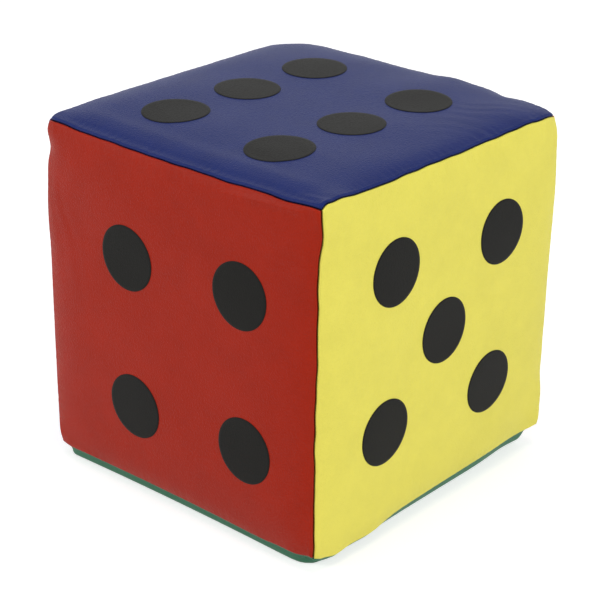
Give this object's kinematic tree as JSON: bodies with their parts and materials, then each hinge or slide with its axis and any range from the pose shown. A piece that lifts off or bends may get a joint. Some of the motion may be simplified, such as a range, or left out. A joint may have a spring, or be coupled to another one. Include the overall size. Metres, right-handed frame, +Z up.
{
  "type": "soft toy dice",
  "caption": "Large soft play dice: a foam block in a sewn vinyl cover with black pips, and a zip down one edge.",
  "frame": {"origin": "on the floor, under the middle of the dice", "axes": "+Z up through the six-pip side, the four-pip side faces -Y and the five-pip side faces +X"},
  "size_m": [0.3012, 0.3012, 0.3056],
  "materials": {
    "foam": "matte",
    "vinyl_blue": "satin",
    "vinyl_red": "satin",
    "vinyl_yellow": "satin",
    "vinyl_green": "satin",
    "vinyl_orange": "satin",
    "vinyl_purple": "satin",
    "pip_vinyl": "matte",
    "zip_tape": "matte",
    "zip_teeth": "satin",
    "zip_metal": "satin"
  },
  "bodies": {
    "cover": {"foam_core": "foam", "panel_top": "vinyl_blue", "panel_front": "vinyl_red", "panel_right": "vinyl_yellow", "panel_back": "vinyl_orange", "panel_left": "vinyl_purple", "panel_bottom": "vinyl_green", "pip_top_1": "pip_vinyl", "pip_top_2": "pip_vinyl", "pip_top_3": "pip_vinyl", "pip_top_4": "pip_vinyl", "pip_top_5": "pip_vinyl", "pip_top_6": "pip_vinyl", "pip_front_1": "pip_vinyl", "pip_front_2": "pip_vinyl", "pip_front_3": "pip_vinyl", "pip_front_4": "pip_vinyl", "pip_right_1": "pip_vinyl", "pip_right_2": "pip_vinyl", "pip_right_3": "pip_vinyl", "pip_right_4": "pip_vinyl", "pip_right_5": "pip_vinyl", "pip_back_1": "pip_vinyl", "pip_back_2": "pip_vinyl", "pip_back_3": "pip_vinyl", "pip_left_1": "pip_vinyl", "pip_left_2": "pip_vinyl", "pip_bottom_1": "pip_vinyl", "zip_tape_left": "zip_tape", "zip_tape_back": "zip_tape", "zip_teeth_left": "zip_teeth", "zip_teeth_back": "zip_teeth", "zip_top_stop": "zip_metal", "zip_bottom_stop": "zip_metal"},
    "slider": {"zip_slider": "zip_metal", "zip_slider_back": "zip_metal"},
    "puller": {"zip_puller": "zip_metal"}
  },
  "joints": [
    {"name": "zip_slide", "type": "slide", "parent": "cover", "child": "slider", "axis": [0, 0, -1], "range_m": [0, 0.228]},
    {"name": "zip_puller_hinge", "type": "hinge", "parent": "slider", "child": "puller", "pos_m": [-0.14354, 0.14354, 0.267], "axis": [0.7071, 0.7071, 0], "range_deg": [0, 180]}
  ]
}
